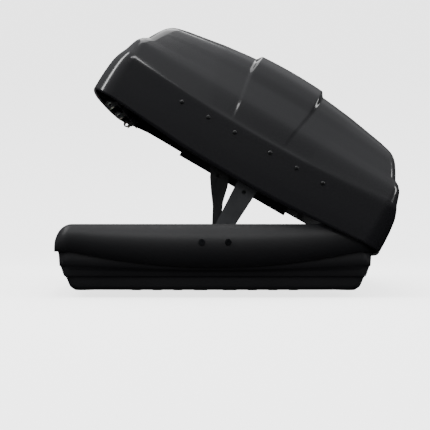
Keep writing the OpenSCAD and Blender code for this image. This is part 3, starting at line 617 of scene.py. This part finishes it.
def scatter(name, head_mesh, places, material, seed=3):
    """One plain mesh with a copy of head_mesh at each (point, aim), points in metres."""
    points = bpy.data.meshes.new(name + "_points")
    points.from_pydata([p for p, _ in places], [], [])
    aims = points.attributes.new("aim", "FLOAT_VECTOR", "POINT")
    for k, (_, aim) in enumerate(places):
        aims.data[k].vector = aim
    head = link_object(name + "_head", head_mesh)
    row = link_object(name, points)
    nodes = row.modifiers.new("row", "NODES")
    nodes.node_group = FASTENERS
    for item in FASTENERS.interface.items_tree:
        if item.in_out == "INPUT" and item.name in ("Head", "Finish", "Seed"):
            nodes[item.identifier] = {"Head": head, "Finish": material, "Seed": seed}[item.name]
    bpy.context.view_layer.update()
    done = bpy.data.meshes.new_from_object(row.evaluated_get(bpy.context.evaluated_depsgraph_get()))
    row.modifiers.clear()
    row.data = done
    bpy.data.objects.remove(head)
    return row


def speckled(name, dark, light, metal, rough, grain_mm, bump_depth, stretch=(1, 1, 1), patch_mm=60.0):
    """A finish whose colour drifts in patches, and whose roughness and bump follow a fine grain."""
    material, tree, shader = new_material(name)
    place = add(tree, "ShaderNodeTexCoord")
    lay = add(tree, "ShaderNodeMapping", None, {"Vector": place.outputs["Object"], "Scale": stretch})
    fine = add(tree, "ShaderNodeTexNoise", None,
               {"Vector": lay.outputs["Vector"], "Scale": 1 / (grain_mm * MM),
                "Detail": 4.0, "Roughness": 0.6})
    patch = add(tree, "ShaderNodeTexNoise", None,
                {"Vector": place.outputs["Object"], "Scale": 1 / (patch_mm * MM), "Detail": 5.0})
    scaled = add(tree, "ShaderNodeMath", {"operation": "MULTIPLY"}, {0: patch.outputs["Fac"], 1: 0.65})
    mixed = add(tree, "ShaderNodeMath", {"operation": "MULTIPLY_ADD"},
                {0: fine.outputs["Fac"], 1: 0.35, 2: scaled.outputs["Value"]})
    spread = add(tree, "ShaderNodeMapRange", None,
                 {"Value": mixed.outputs["Value"], "From Min": 0.3, "From Max": 0.7})
    tone = add(tree, "ShaderNodeMix", {"data_type": "RGBA"},
               {0: spread.outputs["Result"], 6: to_linear(dark), 7: to_linear(light)})
    sheen = add(tree, "ShaderNodeMapRange", None,
                {"Value": mixed.outputs["Value"], "From Min": 0.3, "From Max": 0.7,
                 "To Min": rough[0], "To Max": rough[1]})
    bump = add(tree, "ShaderNodeBump", None,
               {"Height": fine.outputs["Fac"], "Strength": bump_depth, "Distance": 0.0004})
    tree.links.new(tone.outputs[2], shader.inputs["Base Color"])
    tree.links.new(sheen.outputs["Result"], shader.inputs["Roughness"])
    tree.links.new(bump.outputs["Normal"], shader.inputs["Normal"])
    shader.inputs["Metallic"].default_value = metal
    return material


def shader_of(material):
    return material.node_tree.nodes["Principled BSDF"]


def finish_node(names, material, round_mm=0.5):
    """Gives CAD pieces a material, and rounds their sharp edges a little without moving them."""
    for name in names:
        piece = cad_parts[name]
        if not piece.data.materials:
            piece.data.materials.append(material)
        for spot in piece.material_slots:
            spot.material = material
        weld = piece.modifiers.new("weld", "WELD")
        weld.merge_threshold = 0.00002
        edge = piece.modifiers.new("edge", "BEVEL")
        edge.limit_method, edge.angle_limit = "ANGLE", math.radians(35)
        edge.width, edge.segments, edge.harden_normals = round_mm * MM, 2, True


# Pressed steel under black e-coat: a soft gloss over a fine orange peel
black_steel = speckled("black_ecoat_steel", "#0E0E0F", "#191A1B", 0.0, (0.28, 0.46), 0.9, 0.18)
shader_of(black_steel).inputs["Coat Weight"].default_value = 0.25
rear_skirt = []
for x in (50, 125, 200):
    for side in (-1, 1):
        y = REAR_Y - REAR_BOW * (1 - (x / 349) ** 2) + 0.6
        middle = opened(side * x, y, HINGE_Z + 65 + 24 - 10)
        slope = Vector((2 * REAR_BOW * side * x / 349 ** 2, -1, 0.02)).normalized()
        ahead = opened(HINGE_X + slope.x, slope.y, HINGE_Z + slope.z)
        rear_skirt.append((tuple(MM * v for v in middle),
                           (ahead[0] - HINGE_X, ahead[1], ahead[2] - HINGE_Z)))
rivets = scatter("lid_rivet_heads", domed_head("rivet_head", 5.0, 1.5), rear_skirt, black_steel)
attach(rivets, "lid")
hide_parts("lid_rivets")

# ---- Lifters ----
# Each end wall carries a pressed steel arm and a thinner hooked link on one shared pivot, which hold the
# lid up. The brackets are bolted through the tray with dome-headed socket bolts.
# Powder-coated steel: dark grey, with the fine texture of the coat
grey_steel = speckled("grey_coated_steel", "#2A2B2D", "#3A3B3D", 0.0, (0.3, 0.48), 0.8, 0.16)
shader_of(grey_steel).inputs["Coat Weight"].default_value = 0.2
finish_node(["rear_lifter_arm", "front_lifter_arm"], grey_steel, 0.7)
finish_node(["rear_lifter_link", "front_lifter_link"], black_steel, 0.6)
finish_node(["rear_lifter_bracket", "front_lifter_bracket"], black_steel, 0.6)
# Steel bolts, zinc-plated and blackened: a dark metal that still takes a highlight
black_zinc = speckled("black_zinc_plate", "#3C3D40", "#55575B", 1.0, (0.2, 0.34), 0.7, 0.06)
finish_node(["rear_lifter_bolts", "front_lifter_bolts"], black_zinc, 0.5)

# ---- Lid rails and stiffeners ----
# Inside the lid, a grooved steel rail at each end guides the lifters, and three bent aluminium bows
# carry the load between the hinges. The rails are black, the bows bare and drawn along their length.
finish_node(["rear_lid_rail", "front_lid_rail"], black_steel, 0.5)
# Bare drawn aluminium: pale and satin, with fine lines along the draw
aluminium = speckled("drawn_aluminium", "#A3A5A7", "#B9BBBD", 1.0,
                     (0.3, 0.42), 0.5, 0.25, (0.04, 1.0, 1.0), 90.0)
finish_node(["lid_bows"], aluminium, 0.6)

# ---- Hinges ----
# Three hinge points a side: a steel post screwed to the floor carries a zinc-plated pin, and a white
# acetal cradle in the lid's bracket drops over it. Pan-head screws hold the feet and the brackets.
# Zinc-plated steel: bright, with a faint patchwork of zinc crystals
zinc_steel = speckled("bright_zinc_plate", "#8F9499", "#B8BCC0", 1.0, (0.2, 0.38), 1.4, 0.08)
tree, shader = zinc_steel.node_tree, shader_of(zinc_steel)
place = add(tree, "ShaderNodeTexCoord")
crystals = add(tree, "ShaderNodeTexVoronoi", None, {"Vector": place.outputs["Object"], "Scale": 160.0})
flakes = add(tree, "ShaderNodeMix", {"data_type": "RGBA", "blend_type": "SOFT_LIGHT"},
             {0: 0.25, 7: crystals.outputs["Color"]})
base_link = shader.inputs["Base Color"].links[0]
tree.links.new(base_link.from_socket, flakes.inputs[6])
pale = add(tree, "ShaderNodeHueSaturation", None, {"Saturation": 0.12, "Color": flakes.outputs[2]})
tree.links.new(pale.outputs["Color"], shader.inputs["Base Color"])
# Moulded acetal, uncoloured: milky, slick and a little translucent
acetal = speckled("natural_acetal", "#CFCDC2", "#DEDCD2", 0.0, (0.28, 0.42), 1.2, 0.05)
shader_of(acetal).inputs["Subsurface Weight"].default_value = 0.12
shader_of(acetal).inputs["Subsurface Scale"].default_value = 0.002
finish_node(["left_hinge_posts", "right_hinge_posts"], black_steel, 0.6)
finish_node(["left_lid_brackets", "right_lid_brackets"], black_steel, 0.6)
finish_node(["left_hinge_pins", "right_hinge_pins"], zinc_steel, 0.6)
finish_node(["left_cradles", "right_cradles"], acetal, 0.4)
HINGE_YS, BRACKET_Z, FLOOR_TOP = (-500.0, -90.0, 320.0), HINGE_Z + 24, 12.0


def turned_aim(x, y, z):
    """A direction of the closed lid, as it points when the lid is open."""
    tip = opened(HINGE_X + x, y, HINGE_Z + z)
    return (tip[0] - HINGE_X, tip[1], tip[2] - HINGE_Z)


feet, leaves = [], []
for side in (-1, 1):
    for y in HINGE_YS:
        foot_x = plan_w(y) - RIM_INNER - 44 - 34 + 9
        feet += [((side * foot_x * MM, (y + d) * MM, (FLOOR_TOP + 3.4) * MM), (0, 0, 1)) for d in (-9, 17)]
        inner = side * (plan_w(y) - LID_WALL - 4.9)
        leaves += [(tuple(MM * v for v in opened(inner, y + d, BRACKET_Z + 21)), turned_aim(-side, 0, 0))
                   for d in (-22, 22)]
foot_screws = scatter("foot_screws", domed_head("screw_head", 4.6, 2.6), feet, zinc_steel, 5)
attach(foot_screws, "base")
leaf_screws = scatter("bracket_screws", domed_head("leaf_head", 4.6, 2.4), leaves, zinc_steel, 7)
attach(leaf_screws, "lid")

# ---- Locks and handles ----
# A flat zinc-plated bar inside each side slides its eyes over the hinge pins. A ribbed plastic handle in a
# sunk frame moves it from outside, and a satin chrome key cylinder in the handle locks it.
# Moulded glass-filled nylon with a spark-eroded grain: black and matt
black_plastic = speckled("sparked_black_plastic", "#111112", "#1B1B1C", 0.0, (0.42, 0.58), 0.45, 0.4)
# Chrome on zinc, blasted before plating: bright with a soft edge to its reflections
chrome = speckled("satin_chrome", "#B4B6B9", "#CACCCE", 1.0, (0.14, 0.24), 0.5, 0.05)
finish_node(["left_lock_bar", "right_lock_bar"], zinc_steel, 0.6)
finish_node(["left_slide_handle", "right_slide_handle"], black_plastic, 0.9)
finish_node(["left_escutcheon", "right_escutcheon"], black_plastic, 0.9)
finish_node(["left_key_cylinder", "right_key_cylinder"], chrome, 0.4)
frame_screws = scatter("frame_screws", domed_head("frame_head", 3.4, 1.4), [
    (tuple(MM * v for v in opened(s * (WALL_X + 2.9), HANDLE_Y + d * (FRAME_L / 2 - 5), HINGE_Z + HANDLE_H)),
     turned_aim(s, 0, 0)) for s in (-1, 1) for d in (-1, 1)], black_steel, 11)
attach(frame_screws, "lid")

# ---- Floor rails and clamps ----
# Two folded steel channels on the floor, and on them four clamps: a moulded housing with a fixed claw
# goes down through the floor's slot, and a turned knob draws a moving jaw along its screw to grip the bar.
# Moulded rubber: a dead matt black with a trace of bloom
rubber = speckled("moulded_rubber", "#131313", "#1E1E1E", 0.0, (0.7, 0.86), 0.35, 0.3)
shader_of(rubber).inputs["Sheen Weight"].default_value = 0.15
finish_node(["left_floor_rail", "right_floor_rail"], zinc_steel, 0.5)
CLAMPS = {k: ((250.0 if k % 2 == 0 else -250.0), (375.0 if k > 2 else -375.0)) for k in (1, 2, 3, 4)}
finish_node([f"clamp_housing_{k}" for k in CLAMPS], black_plastic, 1.2)
finish_node([f"clamp_jaw_{k}" for k in CLAMPS], zinc_steel, 0.5)
finish_node([f"clamp_pad_{k}" for k in CLAMPS], rubber, 0.5)
SCREW_Z, SCREW_R, SCREW_LEAD = 36.5, 4.0, 4.0
BAR_W, HOUSE_FRONT, KNOB_R, KNOB_L = 80.0, 74.0, 19.0, 24.0
SCREW_START = BAR_W / 2 - 14


def screw_rings():
    """Radius laws along the clamp's axis: a threaded screw, a collar, then a grip with eight hollows."""
    rings = [(SCREW_START, lambda t: 3.0)]
    for k in range(int((HOUSE_FRONT - SCREW_START) / 0.5)):
        along = SCREW_START + 0.5 + 0.5 * k
        phase = along / SCREW_LEAD
        rings.append((along, lambda t, q=phase: SCREW_R - 0.75 * abs(2 * ((t / math.tau - q) % 1.0) - 1)))
    # Distance from the housing, share of the knob's radius, and depth of the hollows
    grip = [(1.0, 0.55, 0), (1.2, 0.84, 0), (2.4, 0.93, 0.6), (4, 0.985, 1), (KNOB_L - 3, 0.985, 1),
            (KNOB_L - 1.2, 0.95, 0.8), (KNOB_L - 0.2, 0.86, 0.4), (KNOB_L + 0.4, 0.74, 0),
            (KNOB_L - 0.6, 0.68, 0), (KNOB_L - 1.2, 0.4, 0), (KNOB_L - 1.2, 0.1, 0)]
    for along, share, wave in grip:
        rings.append((HOUSE_FRONT + along, lambda t, r=share * KNOB_R, w=wave:
                      r - w * 2.0 * (0.5 + 0.5 * math.cos(8 * t)) ** 2))
    return rings


def knob_mesh(name, x, y, sides=64):
    rings = screw_rings()
    turns = [2 * math.pi * j / sides for j in range(sides)]
    points = [((x + law(t) * math.cos(t)) * MM, (y + along) * MM, (SCREW_Z + law(t) * math.sin(t)) * MM)
              for along, law in rings for t in turns]
    last = (len(rings) - 1) * sides
    faces = [(k + j, k + sides + j, k + sides + (j + 1) % sides, k + (j + 1) % sides)
             for k in range(0, last, sides) for j in range(sides)]
    faces += [tuple(range(sides)), tuple(reversed(range(last, last + sides)))]
    return mesh_from(name, points, faces)


for k, (x, y) in CLAMPS.items():
    knob = link_object(f"clamp_grip_{k}", knob_mesh(f"clamp_grip_{k}", x, y), black_plastic)
    knob.data.materials.append(zinc_steel)
    for face in knob.data.polygons:
        face.material_index = 1 if face.center.y < (y + HOUSE_FRONT + 0.9) * MM else 0
    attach(knob, f"knob_{k}")
    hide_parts(f"clamp_knob_{k}")
